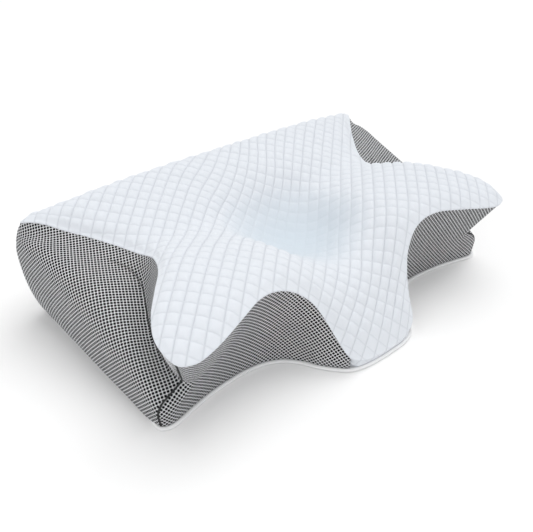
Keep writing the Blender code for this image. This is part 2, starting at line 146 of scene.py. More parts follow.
# How the smooth shapes are sampled. CROWN_X and CROWN_Y are the places of a table of lengths
# along the crown.
CORNER_POINTS = 9
FOOT_ROW = 1 + len(SWELL_ROWS) + CORNER_POINTS + CORNER_POINTS // 2
LOOK_AHEAD = 0.05
PLACES_PER_STATION = 60
SEAM_STEP = 0.0022
BACK_STEP = 0.012
POINTS_AT_ONCE = 1500
CROWN_Y = np.linspace(-0.20, 0.24, 441)
CROWN_X = np.linspace(0, 0.33, 67)
MERGE_DISTANCE = 1e-7
TINY = 1e-12

# How a panel's cloth is laid out flat
FLAT_COLUMNS = 4
FLAT_ROWS = 22
FINER = 4
FLATTENING_ROUNDS = 60
LEAST_WEIGHT = 0.02
CLOTH_MAP = "Cloth"
MIRROR = (-1, 1, 1)

# The net and its backing. Depths are measured down from the panel's outer face. At a panel's
# two ends the net sinks to meet the seam.
SEAM_TUCK = 0.0020
END_SINK = 0.0008
END_SINK_WIDTH = 0.0025
NET_CROSSING_DEPTH = 0.0
NET_STRAND_DEPTH = 0.0001
NET_RIM_DEPTH = 0.00015
HOLE_ROUNDING = 0.90
LEAST_FACE = 4e-9
BACKING_DEPTHS = (0.0004, 0.0028)
RING = ((1, 0), (1, 1), (0, 1), (-1, 1), (-1, 0), (-1, -1), (0, -1), (1, -1))

# The sewn strips: half their width and how far they stand out, then the heights of their
# edges, their groove and their underside
JOIN_SIZE = (0.0016, 0.0006)
CREASE_SIZE = (0.0017, 0.0013)
STRIP_EDGE = -0.0010
STRIP_GROOVE = -0.0004
STRIP_UNDERSIDE = -0.0016
JOIN_REACH = 0.02
JOIN_POINTS = 70
CREASE_POINTS = 90

# The cover's edge, which rolls over the top of the mesh: how far each row stands out from the
# seam and how far it lies below it. The roll is smaller where the seam is low.
EDGE_ROLL = ((0.0004, 0.0003), (0.0007, 0.0012), (0.0005, 0.0021), (-0.0004, 0.0026))
LOW_SEAM = 0.02
LEAST_ROLL = 0.2
TOP_MARGIN = 0.0012
WALL_ROWS = 27
INNER_CLEARANCE = 0.0010
NOSE_FADE = 0.5

# The quilting: its cells are uneven, fuller on the nose, and one way of its channels is fainter
QUILT_STEPS = 8
FAINT_CHANNEL = 0.68
CHANNEL_WIDTH = 0.0018
CELL_ROUNDNESS = 0.55
UNEVEN_CELLS = 0.22
CELL_SEED = 11
CELL_TABLE = (97, 89)
NOSE_FROM_Y = -0.100
NOSE_BLEND = 0.03
NOSE_HALF_WIDTH = 0.14
NOSE_FULLER = 0.35
QUILT_EDGE_START = 0.35
QUILT_EDGE_SHARE = 0.6

# The base: its lip shows under the front mesh, and under the sides it is tucked in
LIP_FADE = 1.2
LIP_RISE = 0.0012
LIP_POINTS = 9
LIP_INSET = 0.0002
BASE_TUCK = 0.0025
BASE_TOP = (-0.004, -0.0004)
BASE_UNDERSIDE = (-0.0010, -0.006)

# Where the camera and the lights stand, in metres and degrees
CAMERA_PLACE = (-0.5440, -0.5878, 0.5742)
CAMERA_TURN = (56.685, 0.0, -39.95)
CAMERA_LENS = 44.8
KEY_FROM = (0.42, 0.08, 1.00)
KEY_AIM = (0.0, 0.0, 0.0)
KEY_STRENGTH = 1.45
KEY_SOFTNESS = 60.0
FILL_PLACE = (-2.2, -0.7, 1.2)
FILL_AIM = (0.0, 0.0, 0.1)
FILL_SIZE = 1.8
FILL_POWER = 8
WORLD_STRENGTH = 0.64
FLOOR_REACH = 12.0
FLOOR_DROP = 0.0002


def bend(t, step, first, last, slope_first, slope_last):
    """The smooth curve between two values with the slopes given there, at shares t of the step."""
    start = (1 + 2 * t) * (1 - t) ** 2 * first + t * (1 - t) ** 2 * step * slope_first
    end = t * t * (3 - 2 * t) * last + t * t * (t - 1) * step * slope_last
    return start + end


def hermite(knots, values, at):
    """A smooth curve through values at knots. values may hold several columns."""
    knots = np.asarray(knots, float)
    values = np.asarray(values, float)
    slopes = np.gradient(values, knots, axis=0)
    at = np.clip(at, knots[0], knots[-1])
    i = np.clip(np.searchsorted(knots, at, side="right") - 1, 0, len(knots) - 2)
    step = (knots[i + 1] - knots[i]).reshape(-1, *[1] * (values.ndim - 1))
    t = (at - knots[i]).reshape(step.shape) / step
    return bend(t, step, values[i], values[i + 1], slopes[i], slopes[i + 1])


def along(field, t):
    """The stations' points of one field at places t, counted in stations from the back."""
    values = np.array([getattr(station, field) for station in STATIONS])
    return hermite(np.arange(len(STATIONS)), values, np.asarray(t, float))


def arc_lengths(points):
    """The length along a line of points, from its first one."""
    return np.concatenate([[0.0], np.cumsum(np.linalg.norm(np.diff(points, axis=0), axis=1))])


def even_places(first, last, step, field="seam"):
    """Places between two stations that lie about step apart along the field's line."""
    t = np.linspace(first, last, PLACES_PER_STATION * int(math.ceil(last - first)) + 1)
    length = arc_lengths(along(field, t))
    count = int(math.ceil(length[-1] / step)) + 1
    return np.interp(np.linspace(0, length[-1], count), length, t)


def depth_inside(points, outline):
    """How far each plan point lies inside the closed outline, and 0 outside it."""
    after = np.roll(outline, -1, axis=0)
    edge = after - outline
    rise = np.where(edge[:, 1] == 0, 1.0, edge[:, 1])
    found = []
    for part in np.array_split(points, max(1, len(points) // POINTS_AT_ONCE)):
        offset = part[:, None] - outline
        share = np.clip((offset * edge).sum(2) / (edge * edge).sum(1), 0, 1)
        nearest = np.linalg.norm(offset - share[..., None] * edge, axis=2).min(axis=1)
        spans = (outline[:, 1] > part[:, 1, None]) != (after[:, 1] > part[:, 1, None])
        crossing = outline[:, 0] + offset[..., 1] / rise * edge[:, 0]
        within = (spans & (part[:, 0, None] < crossing)).sum(axis=1) % 2 == 1
        found.append(np.where(within, nearest, 0.0))
    return np.concatenate(found)


def crown(x, y):
    """The height of the top before its edge rolls down."""
    rows = hermite([section.y for section in SECTIONS], np.array([s[1:] for s in SECTIONS]), y)
    knots = np.array(SECTION_X)
    slopes = np.gradient(rows, knots, axis=1)
    slopes[:, 0] = 0.0
    distance = np.clip(np.abs(x), knots[0], knots[-1])
    i = np.clip(np.searchsorted(knots, distance, side="right") - 1, 0, len(knots) - 2)
    pick = np.arange(len(rows))
    step = knots[i + 1] - knots[i]
    t = (distance - knots[i]) / step
    return bend(t, step, rows[pick, i], rows[pick, i + 1], slopes[pick, i], slopes[pick, i + 1])


def rounded(start, corner, end, reach):
    """Points that turn a corner smoothly, one row for each of CORNER_POINTS."""
    before = start - corner
    after = end - corner
    length_in = np.linalg.norm(before, axis=1, keepdims=True)
    length_out = np.linalg.norm(after, axis=1, keepdims=True)
    reach_in = np.minimum(reach, 0.5 * length_in)
    reach_out = np.minimum(reach, 0.45 * length_out)
    first = corner + before / length_in * np.minimum(reach_in, ROUNDING_SKEW * reach_out)
    last = corner + after / length_out * np.minimum(reach_out, ROUNDING_SKEW * reach_in)
    return [
        (1 - s) ** 2 * first + 2 * s * (1 - s) * corner + s * s * last
        for s in np.linspace(0, 1, CORNER_POINTS)
    ]


def swelled(t, rows, shoulder_height):
    """The wall's rows moved out where the sides are stuffed full, between base and shoulder."""
    t = np.clip(t, 0, len(STATIONS) - 1)
    shown = np.interp(t, [PLACES.index(name) for name in SWELL_PLACES], (0.0, 1.0, 1.0, 0.0))
    towards = along("base", t + LOOK_AHEAD) - along("base", t - LOOK_AHEAD)
    out = np.column_stack([-towards[:, 1], towards[:, 0], np.zeros(len(t))])
    out /= np.linalg.norm(out, axis=1, keepdims=True)
    share = np.clip((rows[..., 2] - rows[0, :, 2]) / (shoulder_height - rows[0, :, 2]), 0, 1)
    fullness = np.sin(math.pi * share**SWELL_LOW) ** SWELL_FLAT
    amount = SWELL * shoulder_height * shown**2 * (3 - 2 * shown) * fullness
    return rows + amount[..., None] * out


def wall(t):
    """The outer surface of the wall: rows of points from the bottom up to the seam."""
    base = np.column_stack([along("base", t), np.full(len(t), BOTTOM)])
    shoulder = along("shoulder", t)
    foot = along("foot", t)
    plan = along("seam", t)
    seam = np.column_stack([plan, crown(plan[:, 0], plan[:, 1]) - EDGE_ROLL_DROP])
    foot[:, 2] = np.minimum(foot[:, 2], seam[:, 2] - 0.3 * np.minimum(seam[:, 2] - BOTTOM, SHORT_WALL))
    shoulder[:, 2] = np.minimum(shoulder[:, 2], foot[:, 2])
    turn = rounded(base, shoulder, foot, SHOULDER_ROUNDING)
    rows = [base]
    rows += [base + (turn[0] - base) * share for share in SWELL_ROWS]
    rows += turn
    rows += rounded(shoulder, foot, seam, FOOT_ROUNDING)
    rows += [seam]
    return swelled(t, np.array(rows), shoulder[:, 2])


def wall_grid(t, shares, tuck=0.0):
    """The wall's surface and its outward directions at shares of each column's length.

    tuck is the length left bare below the seam.
    """
    corners = wall(t)
    ahead = wall(t + LOOK_AHEAD)
    behind = wall(t - LOOK_AHEAD)
    points = np.empty((len(shares), len(t), 3))
    onward = np.empty_like(points)
    for c in range(len(t)):
        length = arc_lengths(corners[:, c])
        at = shares * (length[-1] - tuck)
        for axis in range(3):
            points[:, c, axis] = np.interp(at, length, corners[:, c, axis])
            onward[:, c, axis] = np.interp(at, length, ahead[:, c, axis] - behind[:, c, axis])
    outward = np.cross(np.gradient(points, axis=0), onward)
    outward /= np.maximum(np.linalg.norm(outward, axis=2, keepdims=True), TINY)
    return points, outward


def grid_triangles(height, width):
    r, c = np.meshgrid(np.arange(height - 1), np.arange(width - 1), indexing="ij")
    a = (r * width + c).ravel()
    return np.concatenate(
        [np.column_stack([a, a + 1, a + width + 1]), np.column_stack([a, a + width + 1, a + width])]
    )


def flattened(points):
    """The grid of points laid out flat with as little stretch as it allows, as cloth is cut."""
    height, width = points.shape[:2]
    across = arc_lengths(points[height // 2])
    up = np.array([arc_lengths(points[:, c]) for c in range(width)]).T
    flat = np.stack([np.broadcast_to(across, (height, width)), up], axis=2).reshape(-1, 2)
    triangles = grid_triangles(height, width)
    corner = points.reshape(-1, 3)[triangles]
    first = corner[:, 1] - corner[:, 0]
    second = corner[:, 2] - corner[:, 0]
    along_first = np.linalg.norm(first, axis=1)
    x = (first * second).sum(1) / along_first
    y = np.sqrt(np.maximum((second**2).sum(1) - x**2, TINY))
    rest = np.zeros((len(triangles), 3, 2))
    rest[:, 1, 0] = along_first
    rest[:, 2] = np.column_stack([x, y])
    ends = [(1, 2, 0), (2, 0, 1), (0, 1, 2)]
    weights = []
    matrix = np.zeros((len(flat), len(flat)))
    for i, j, opposite in ends:
        p = rest[:, i] - rest[:, opposite]
        q = rest[:, j] - rest[:, opposite]
        weight = np.maximum((p * q).sum(1) / np.abs(p[:, 0] * q[:, 1] - p[:, 1] * q[:, 0]), LEAST_WEIGHT)
        weights.append(weight)
        a, b = triangles[:, i], triangles[:, j]
        np.add.at(matrix, (a, a), weight)
        np.add.at(matrix, (b, b), weight)
        np.add.at(matrix, (a, b), -weight)
        np.add.at(matrix, (b, a), -weight)
    matrix[0] = 0
    matrix[0, 0] = 1
    inverse = np.linalg.inv(matrix)
    for _ in range(FLATTENING_ROUNDS):
        spread = np.zeros((len(triangles), 2, 2))
        for (i, j, _), weight in zip(ends, weights):
            now = flat[triangles[:, i]] - flat[triangles[:, j]]
            was = rest[:, i] - rest[:, j]
            spread += weight[:, None, None] * now[:, :, None] * was[:, None, :]
        cosine = spread[:, 0, 0] + spread[:, 1, 1]
        sine = spread[:, 1, 0] - spread[:, 0, 1]
        size = np.hypot(cosine, sine)
        cosine, sine = cosine / size, sine / size
        target = np.zeros_like(flat)
        for (i, j, _), weight in zip(ends, weights):
            was = rest[:, i] - rest[:, j]
            turned = np.column_stack(
                [cosine * was[:, 0] - sine * was[:, 1], sine * was[:, 0] + cosine * was[:, 1]]
            )
            np.add.at(target, triangles[:, i], weight[:, None] * turned)
            np.add.at(target, triangles[:, j], -weight[:, None] * turned)
        target[0] = flat[0]
        flat = inverse @ target
    return flat.reshape(height, width, 2)


def both_halves(grid, turn):
    """The grid of the right half with the left half before it. turn mirrors a point."""
    return np.concatenate([grid[:, :0:-1] * turn, grid], axis=1)


def levelled(flat, first, last):
    """The flat cloth turned so that its lower edge runs level between two columns."""
    edge = flat[0, last] - flat[0, first]
    cosine, sine = edge / np.linalg.norm(edge)
    return (flat - flat[0, first]) @ np.array([[cosine, -sine], [sine, cosine]])


class PanelCloth:
    """A mesh panel's surface, found from places on the flat cloth that it is cut from."""

    def __init__(self, first, last, mirrored):
        t = np.linspace(first, last, FLAT_COLUMNS * int(round(last - first)) + 1)
        if first == 0:
            t = even_places(first, last, BACK_STEP)
        shares = np.linspace(0, 1, FLAT_ROWS)
        points, _ = wall_grid(t, shares, SEAM_TUCK)
        if mirrored:
            points = both_halves(points, MIRROR)
        flat = flattened(points)
        if mirrored:
            flat = flat[:, len(t) - 1 :]
        flat = levelled(flat, 0 if mirrored else len(t) // 3, len(t) // 2)
        columns = np.linspace(0, len(t) - 1, FINER * (len(t) - 1) + 1)
        rows = np.linspace(0, FLAT_ROWS - 1, FINER * (FLAT_ROWS - 1) + 1)
        finer_t = np.interp(columns, np.arange(len(t)), t)
        points, outward = wall_grid(finer_t, rows / rows[-1], SEAM_TUCK)
        flat = hermite(np.arange(FLAT_ROWS), flat, rows)
        flat = hermite(np.arange(len(t)), flat.transpose(1, 0, 2), columns).transpose(1, 0, 2)
        edge = np.minimum(
            np.linalg.norm(flat - flat[:, -1:], axis=2),
            np.inf if mirrored else np.linalg.norm(flat - flat[:, :1], axis=2),
        )
        if mirrored:
            outward[:, 0, 0] = 0.0
            points, outward = both_halves(points, MIRROR), both_halves(outward, MIRROR)
            flat, edge = both_halves(flat, (-1, 1)), both_halves(edge, 1)
        self.points = points
        self.outward = outward
        self.flat = flat
        self.sink = END_SINK * np.clip(1 - edge / END_SINK_WIDTH, 0, 1) ** 2
        self.triangles = grid_triangles(*points.shape[:2])
        laid = np.column_stack([flat.reshape(-1, 2), np.zeros(flat.size // 2)])
        self.tree = BVHTree.FromPolygons(laid.tolist(), self.triangles.tolist())

    def area(self):
        a, b, c = (self.flat.reshape(-1, 2)[self.triangles[:, k]] for k in range(3))
        ab, ac = b - a, c - a
        return float(np.abs(ab[:, 0] * ac[:, 1] - ab[:, 1] * ac[:, 0]).sum() / 2)

    def covers(self, places):
        down = Vector((0, 0, -1))
        return np.array([self.tree.ray_cast(Vector((*p, 1)), down)[2] is not None for p in places])

    def surface(self, places):
        """Points, outward directions and sinks at the places, or at the nearest edge of the cloth."""
        found = [self.tree.find_nearest(Vector((*p, 0))) for p in places]
        triangles = self.triangles[[f[2] for f in found]]
        at = np.array([f[0][:2] for f in found])
        a, b, c = (self.flat.reshape(-1, 2)[triangles[:, k]] for k in range(3))
        ab, ac, ap = b - a, c - a, at - a
        whole = ab[:, 0] * ac[:, 1] - ab[:, 1] * ac[:, 0]
        v = (ap[:, 0] * ac[:, 1] - ap[:, 1] * ac[:, 0]) / whole
        w = (ab[:, 0] * ap[:, 1] - ab[:, 1] * ap[:, 0]) / whole
        parts = np.column_stack([1 - v - w, v, w])[..., None]
        points = (self.points.reshape(-1, 3)[triangles] * parts).sum(1)
        outward = (self.outward.reshape(-1, 3)[triangles] * parts).sum(1)
        outward /= np.linalg.norm(outward, axis=1, keepdims=True)
        return points, outward, (self.sink.reshape(-1)[triangles] * parts[..., 0]).sum(1)


def new_piece(name, vertices, faces, material, cloth):
    """A shown mesh object that rides on the pillow. cloth gives each vertex its place on the cloth."""
    mesh = bpy.data.meshes.new(name)
    mesh.from_pydata([tuple(v) for v in vertices], [], [tuple(int(i) for i in f) for f in faces])
    mesh.validate()
    mesh.materials.append(material)
    mesh.shade_smooth()
    layer = mesh.uv_layers.new(name=CLOTH_MAP)
    corner = np.empty(len(mesh.loops), np.int32)
    mesh.loops.foreach_get("vertex_index", corner)
    layer.uv.foreach_set("vector", np.asarray(cloth, np.float32)[corner].ravel())
    piece = bpy.data.objects.new(name, mesh)
    bpy.context.scene.collection.objects.link(piece)
    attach(piece, "root")
    return piece


def net_mesh(cloth, pitch, hole_share, side):
    """Vertices, faces and cloth places of a net with rounded square holes, turned by 45 degrees."""
    turn = math.sqrt(0.5)
    to_flat = np.array([[turn, turn], [-turn, turn]]) * pitch
    lattice = cloth.flat.reshape(-1, 2) @ np.linalg.inv(to_flat)
    low = np.floor(lattice.min(axis=0)).astype(int) - 1
    high = np.ceil(lattice.max(axis=0)).astype(int) + 1
    nodes = np.array([(i, j) for i in range(low[0], high[0] + 1) for j in range(low[1], high[1] + 1)])
    covered = {tuple(n) for n, c in zip(nodes, cloth.covers(nodes @ to_flat)) if c}
    cells = [
        (i, j)
        for i, j in nodes
        if {(i, j), (i + 1, j), (i, j + 1), (i + 1, j + 1)} & covered
    ]
    strand, places, depths, faces = {}, [], [], []

    def add(x, y, depth):
        places.append((x, y))
        depths.append(depth)
        return len(places) - 1

    for i, j in cells:
        outer, rim = [], []
        for a, b in RING:
            key = (2 * i + 1 + a, 2 * j + 1 + b)
            if key not in strand:
                depth = NET_CROSSING_DEPTH if a and b else NET_STRAND_DEPTH
                strand[key] = add(key[0] / 2, key[1] / 2, depth)
            outer.append(strand[key])
            reach = hole_share / 2 * (HOLE_ROUNDING if a and b else 1.0)
            rim.append(add(i + 0.5 + a * reach, j + 0.5 + b * reach, NET_RIM_DEPTH))
        for k in range(len(RING)):
            after = (k + 1) % len(RING)
            faces.append((outer[k], outer[after], rim[after], rim[k]))
    flat = np.array(places) @ to_flat
    points, outward, sink = cloth.surface(flat)
    vertices = points - outward * (np.array(depths) + sink)[:, None]
    faces = np.array(faces)
    corner = vertices[faces]
    spread = np.cross(corner[:, 2] - corner[:, 0], corner[:, 3] - corner[:, 1])
    faces = faces[np.linalg.norm(spread, axis=1) / 2 > LEAST_FACE]
    used, faces = np.unique(faces, return_inverse=True)
    vertices, flat, faces = vertices[used], flat[used], faces.reshape(-1, 4)
    if side < 0:
        vertices = vertices * MIRROR
    else:
        faces = faces[:, ::-1]
    return vertices, faces, flat


def backing_mesh(cloth, side):
    """A closed dark sheet that lies just under the net."""
    height, width = cloth.points.shape[:2]
    layers = [
        cloth.points - cloth.outward * (depth + cloth.sink[..., None]) for depth in BACKING_DEPTHS
    ]
    for layer in layers:
        layer[..., 2] = np.maximum(layer[..., 2], BOTTOM)
    vertices = np.concatenate([layer.reshape(-1, 3) for layer in layers])
    count = height * width
    faces = []
    for r in range(height - 1):
        for c in range(width - 1):
            a = r * width + c
            quad = (a, a + 1, a + width + 1, a + width)
            faces += [quad, tuple(count + n for n in reversed(quad))]
    number = np.arange(count).reshape(height, width)
    rim = [*number[0], *number[1:, -1], *number[-1, -2::-1], *number[-2:0:-1, 0]]
    for a, b in zip(rim, rim[1:] + rim[:1]):
        faces.append((b, a, count + a, count + b))
    if side < 0:
        vertices = vertices * MIRROR
        faces = [face[::-1] for face in faces]
    return vertices, faces, np.concatenate([cloth.flat.reshape(-1, 2)] * 2)


def sewn_strip(spine, across, out, half_width, depth_out):
    """A narrow strip with a sewn groove along its middle, for a line up or along the mesh."""
    half = [(1.0, STRIP_EDGE), (0.6, depth_out), (0.15, STRIP_GROOVE)]
    profile = [(-share * half_width, height) for share, height in half]
    profile += [(share * half_width, height) for share, height in reversed(half)]
    profile += [(0.0, STRIP_UNDERSIDE)]
    rings = np.array([spine + across * a + out * o for a, o in profile]).transpose(1, 0, 2)
    rings[..., 2] = np.maximum(rings[..., 2], BOTTOM)
    count = len(profile)
    faces = []
    for r in range(len(rings) - 1):
        for k in range(count):
            a = r * count + k
            b = r * count + (k + 1) % count
            faces.append((a, b, b + count, a + count))
    faces.append(tuple(reversed(range(count))))
    faces.append(tuple((len(rings) - 1) * count + k for k in range(count)))
    length = arc_lengths(spine)
    cloth = np.array([(a, s) for s in length for a, _ in profile])
    return rings.reshape(-1, 3), faces, cloth


def panel_seam(t, half_width, depth_out):
    """The join of two panels, up the wall at one place."""
    places = np.array([t - JOIN_REACH, t, t + JOIN_REACH])
    points, outward = wall_grid(places, np.linspace(0.0, 1.0, JOIN_POINTS), SEAM_TUCK)
    across = points[:, 2] - points[:, 0]
    across /= np.linalg.norm(across, axis=1, keepdims=True)
    return sewn_strip(points[:, 1], across, outward[:, 1], half_width, depth_out)


def crease_seam_and_shadow(first, last, half_width, depth_out):
    """The sewn crease at the foot of the upper wall, from one place to another. Its dark colour is partly the
    seam's own and partly painted shadow of the fold.
    """
    t = np.linspace(first, last, CREASE_POINTS)
    rows = wall(t)
    across = rows[FOOT_ROW + 1] - rows[FOOT_ROW - 1]
    across /= np.linalg.norm(across, axis=1, keepdims=True)
    out = np.cross(across, np.gradient(rows[FOOT_ROW], axis=0))
    out /= np.linalg.norm(out, axis=1, keepdims=True)
    sink = np.sin(np.linspace(0, math.pi, len(t)))[:, None] ** 0.5
    return sewn_strip(rows[FOOT_ROW] + out * depth_out * (sink - 1), across, out, half_width, depth_out)


def right_half_outline():
    """Places round the right half of the seam, from the middle of the back to the nose."""
    return even_places(0, LAST, SEAM_STEP)


def mirrored_ring(points):
    """A ring right round the pillow from the points of its right half."""
    return np.concatenate([points, points[-2:0:-1] * ([-1] + [1] * (points.shape[1] - 1))])


def band(upper, lower, count):
    """Faces between two closed rings of points, whose numbers begin at upper and lower."""
    after = [(n + 1) % count for n in range(count)]
    return [(upper + n, upper + m, lower + m, lower + n) for n, m in enumerate(after)]


def ring_edges(count):
    return [(n, (n + 1) % count) for n in range(count)]


def cap_faces(ring, start):
    """Triangles that fill a closed ring of points, whose numbers begin at start."""
    corners = [Vector(p) for p in ring[:, :2]]
    filled = delaunay_2d_cdt(corners, ring_edges(len(ring)), [], 1, MERGE_DISTANCE)
    return [tuple(start + int(filled[3][n][0]) for n in face) for face in filled[2]]


def crown_lengths(x):
    """The length along the crown from y = 0 to each of CROWN_Y, at one distance from the middle."""
    length = arc_lengths(np.column_stack([CROWN_Y, crown(np.full(len(CROWN_Y), x), CROWN_Y)]))
    return length - np.interp(0, CROWN_Y, length)


def cloth_heights(x, y):
    """How far along the cloth each plan point lies from the line y = 0."""
    table = np.array([crown_lengths(place) for place in CROWN_X])
    across = np.clip(np.abs(x) / (CROWN_X[1] - CROWN_X[0]), 0, len(CROWN_X) - 1.001)
    up = np.clip((y - CROWN_Y[0]) / (CROWN_Y[1] - CROWN_Y[0]), 0, len(CROWN_Y) - 1.001)
    i, j = across.astype(int), up.astype(int)
    u, v = across - i, up - j
    low = table[i, j] * (1 - v) + table[i, j + 1] * v
    high = table[i + 1, j] * (1 - v) + table[i + 1, j + 1] * v
    return low * (1 - u) + high * u


def top_lattice(outline, step):
    """Plan points and cloth places spaced evenly over the top's cloth, on lines at 45 degrees."""
    low, high = outline.min(axis=0), outline.max(axis=0)
    reach = int(1.4 * (high[0] - low[0]) / step)
    plan, cloth = [], []
    for total in range(-reach, reach + 1):
        x = total * step / math.sqrt(2)
        if not low[0] < x < high[0]:
            continue
        length = crown_lengths(x)
        other = np.arange(-reach, reach + 1)
        other = other[(other - total) % 2 == 0]
        place = other * step / math.sqrt(2)
        place = place[(place > length[0]) & (place < length[-1])]
        plan.append(np.column_stack([np.full(len(place), x), np.interp(place, length, CROWN_Y)]))
        cloth.append(np.column_stack([np.full(len(place), x), place]))
    return np.concatenate(plan), np.concatenate(cloth)


def puff(cloth, pitch):
    """The rounded height of the quilting, 0 along its deeper channels and 1 in its cells."""
    places = [(cloth[:, 0] + sign * cloth[:, 1]) / (math.sqrt(2) * pitch) for sign in (1, -1)]
    across, along_it = (np.abs(np.sin(math.pi * place)) ** CELL_ROUNDNESS for place in places)
    fullness = np.random.default_rng(CELL_SEED).uniform(1 - UNEVEN_CELLS, 1 + UNEVEN_CELLS, CELL_TABLE)
    row, column = (np.floor(p).astype(int) % count for p, count in zip(places, CELL_TABLE))
    uneven = fullness[row, column]
    return uneven * along_it * (1 - FAINT_CHANNEL + FAINT_CHANNEL * across)


def quilt_share(plan, depth, size):
    """How much of the quilting's height shows: little in the hollow and none by the seam."""
    in_hollow = np.hypot(plan[:, 0], plan[:, 1] - HOLLOW_CENTRE_Y) / HOLLOW_REACH
    share = np.clip(in_hollow, 0, 1) ** 2
    forward = np.clip((NOSE_FROM_Y - plan[:, 1]) / NOSE_BLEND, 0, 1)
    at_nose = forward * (np.abs(plan[:, 0]) < NOSE_HALF_WIDTH)
    margin = QUILT_EDGE * (1 + at_nose)
    edge = np.clip((depth - QUILT_EDGE_START * margin) / (QUILT_EDGE_SHARE * margin), 0, 1)
    rise = size.hollow_rise + (size.quilt_rise - size.hollow_rise) * share
    return edge * (1 + NOSE_FULLER * at_nose) * rise


def cushion_mesh(size):
    """Vertices, faces and cloth places of the closed cushion, from the quilted top to the bottom."""
    t = right_half_outline()
    shares = np.linspace(1, 0, WALL_ROWS)
    wall_points, wall_outward = wall_grid(t, shares)
    down = wall_points[1] - wall_points[0]
    down /= np.maximum(np.linalg.norm(down, axis=1, keepdims=True), TINY)
    seam, out = wall_points[0], -wall_outward[0]
    for end in (0, -1):
        out[end, 0] = down[end, 0] = 0.0
    under_panel = np.clip((NOSE_SEAM + NOSE_FADE - t) / NOSE_FADE, 0, 1)[:, None]
    rows = [seam]
    for outwards, below in EDGE_ROLL:
        rows.append(seam + out * outwards + down * below * np.clip(seam[:, 2:] / LOW_SEAM, LEAST_ROLL, 1))
    inset = (PANEL_THICKNESS + GAP + INNER_CLEARANCE) * under_panel
    for r in range(1, WALL_ROWS):
        row_out = -wall_outward[r].copy()
        row_out[[0, -1], 0] = 0.0
        row = wall_points[r] - row_out * inset
        row[:, 2] = np.clip(row[:, 2], BOTTOM, seam[:, 2])
        rows.append(row)
    rows[-1][:, 2] = BOTTOM
    rings = [mirrored_ring(row) for row in rows]
    outline = rings[0][:, :2]

    plan, cloth = top_lattice(outline, size.quilt_pitch / QUILT_STEPS)
    depth = depth_inside(plan, outline)
    kept = depth > TOP_MARGIN
    plan, cloth, depth = plan[kept], cloth[kept], depth[kept]
    edge = np.clip(1 - depth / EDGE_ROLL_WIDTH, 0, 1) ** 2
    height = crown(plan[:, 0], plan[:, 1]) - EDGE_ROLL_DROP * edge
    height += quilt_share(plan, depth, size) * puff(cloth, size.quilt_pitch)
    count = len(outline)
    corners = [Vector(p) for p in np.concatenate([outline, plan])]
    points, _, triangles, origins, _, _ = delaunay_2d_cdt(corners, ring_edges(count), [], 1, MERGE_DISTANCE)
    if len(points) != len(corners):
        raise RuntimeError("the top's points don't all lie apart")
    source = np.array([origin[0] for origin in origins])
    faces = [tuple(int(source[n]) for n in face) for face in triangles]

    vertices = [rings[0], np.column_stack([plan, height])]
    vertices += rings[1:]
    starts = [0] + [count + len(plan) + count * n for n in range(len(rings) - 1)]
    for upper, lower in zip(starts[:-1], starts[1:]):
        faces += band(upper, lower, count)
    faces += [face[::-1] for face in cap_faces(rings[-1], starts[-1])]

    seam_cloth = np.column_stack([outline[:, 0], cloth_heights(outline[:, 0], outline[:, 1])])
    centre = seam_cloth.mean(axis=0)
    away = seam_cloth - centre
    away /= np.linalg.norm(away, axis=1, keepdims=True)
    cloths = [seam_cloth, cloth]
    for n in range(1, len(rings)):
        beyond = np.linalg.norm(rings[n] - rings[0], axis=1)[:, None]
        cloths.append(seam_cloth + away * beyond)
    return np.concatenate(vertices), faces, np.concatenate(cloths)


def base_mesh(size):
    """The base: its outline with a rounded edge that stands a little out under the mesh."""
    t = even_places(0, LAST, SEAM_STEP, "base")
    plan = along("base", t)
    towards = along("base", t + LOOK_AHEAD) - along("base", t - LOOK_AHEAD)
    out = np.column_stack([-towards[:, 1], towards[:, 0]])
    out /= np.linalg.norm(out, axis=1, keepdims=True)
    out *= np.where((out * (plan - plan.mean(axis=0) * (0, 1))).sum() < 0, -1, 1)
    out[[0, -1], 0] = 0.0
    shown = np.clip((t - CORNER_SEAM + LIP_FADE) / LIP_FADE, 0, 1)[:, None]
    height = BASE_THICKNESS + LIP_RISE
    profile = [(reach, BASE_THICKNESS) for reach in BASE_TOP]
    profile += [
        (size.base_lip * math.sin(turn) - LIP_INSET, height * (0.5 + 0.5 * math.cos(turn)))
        for turn in np.linspace(0, math.pi, LIP_POINTS)[1:-1]
    ]
    profile += [(reach, 0.0) for reach in BASE_UNDERSIDE]
    rings = []
    tucked = BASE_TUCK * (1 - shown)
    for reach, z in profile:
        reach = (reach if reach < 0 else reach * shown) - tucked
        row = np.column_stack([plan + out * reach, np.full(len(plan), z)])
        rings.append(mirrored_ring(row))
    count = len(rings[0])
    faces = []
    for ring in range(len(rings) - 1):
        faces += band(ring * count, (ring + 1) * count, count)
    for ring in (0, len(rings) - 1):
        faces += cap_faces(rings[ring], ring * count)
    vertices = np.concatenate(rings)
    outline = mirrored_ring(plan)
    after = np.roll(outline, -1, axis=0)
    area = abs(float((outline[:, 0] * after[:, 1] - after[:, 0] * outline[:, 1]).sum())) / 2
    extent = outline.max(axis=0) - outline.min(axis=0)
    return vertices, faces, vertices[:, :2], (float(extent[0]), float(extent[1])), area


def outward_faces(piece):
    """Turns a closed piece's faces to point outwards."""
    shape = bmesh.new()
    shape.from_mesh(piece.data)
    bmesh.ops.recalc_face_normals(shape, faces=shape.faces)
    shape.to_mesh(piece.data)
    shape.free()


# Shader node helpers and the effects that several materials share


def feed(tree, value, socket):
    """Links another node's output to a socket, or sets the socket to a plain value."""
    if isinstance(value, bpy.types.NodeSocket):
        tree.links.new(value, socket)
    else:
        socket.default_value = value


def linked(tree, kind, **inputs):
    """A node whose inputs are set to values or linked to other nodes' outputs."""
    node = tree.nodes.new(kind)
    for name, value in inputs.items():
        numbered = name[0] == "i" and name[1:].isdigit()
        feed(tree, value, node.inputs[int(name[1:]) if numbered else name])
    return node


